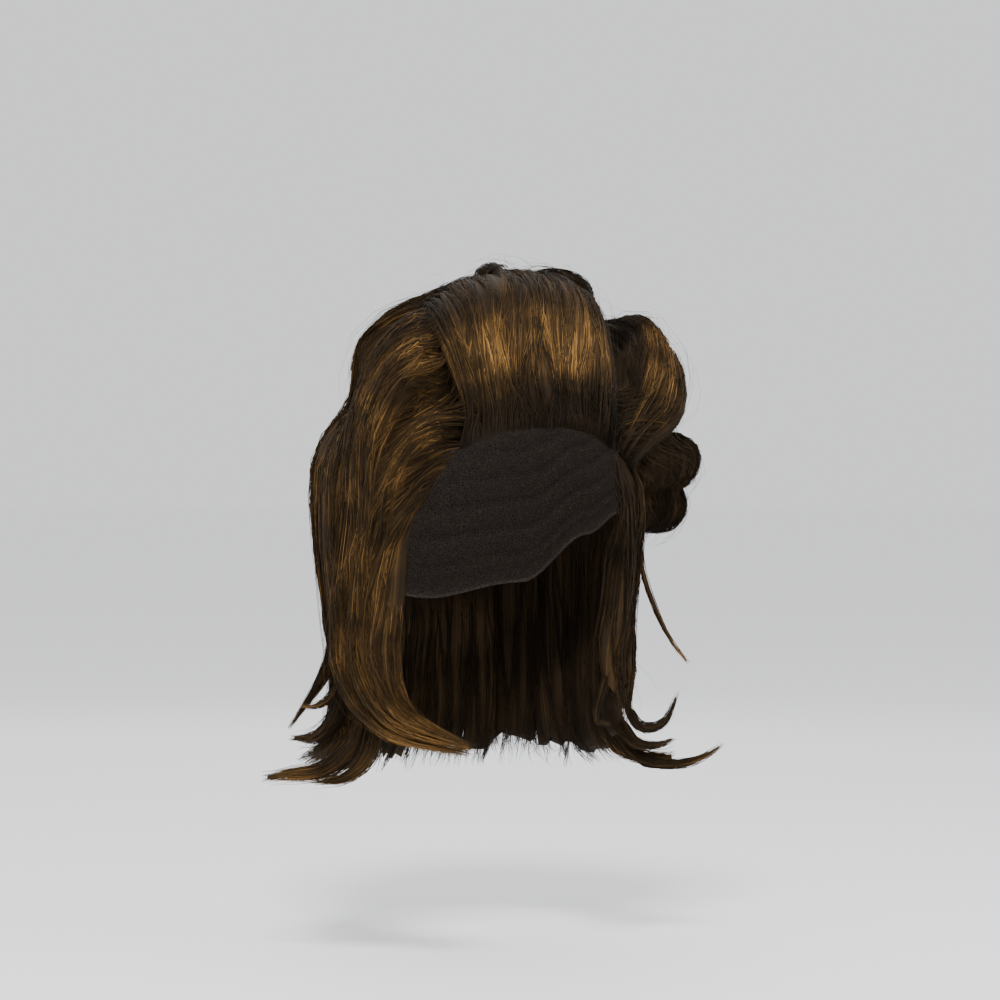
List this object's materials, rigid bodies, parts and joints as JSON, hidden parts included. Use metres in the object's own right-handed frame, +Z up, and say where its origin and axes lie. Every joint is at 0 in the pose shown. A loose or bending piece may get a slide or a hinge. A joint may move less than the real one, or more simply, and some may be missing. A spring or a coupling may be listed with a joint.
{
  "type": "mullet wig",
  "caption": "Mullet wig on a hemmed cap: swept-up front, waved and curled sides, temple locks, and back hair that falls to the shoulders and flicks outwards.",
  "frame": {"origin": "the point inside the cap where the top of the head touches it", "axes": "+Z up, the wig faces -Y, and the wearer's left side is +X"},
  "size_m": [0.2685, 0.2473, 0.2998],
  "materials": {
    "hair": "dark brown synthetic hair with golden brown highlights, soft gloss",
    "cap_net": "dark elastic net with sewn weft rows and a turned hem, matt"
  },
  "bodies": {
    "root": {"cap": "cap_net", "front_pompadour": "hair", "side_wave_right": "hair", "side_curl_left_upper": "hair", "side_curl_left_middle": "hair", "side_curl_left_lower": "hair", "crown_hair": "hair", "temple_lock_right": "hair", "temple_lock_left": "hair", "back_hair_right": "hair", "back_hair_left": "hair", "back_hair_centre": "hair", "crown_tuft": "hair", "crown_lump": "hair", "flick_right_outer": "hair", "flick_right_wisp": "hair", "flick_right_lower": "hair", "flick_right_sweep": "hair", "flick_right_under": "hair", "flick_left_high": "hair", "flick_left_inner": "hair", "flick_left_middle": "hair", "flick_left_blunt": "hair", "flick_left_long": "hair", "stray_lock_left": "hair"}
  },
  "joints": []
}
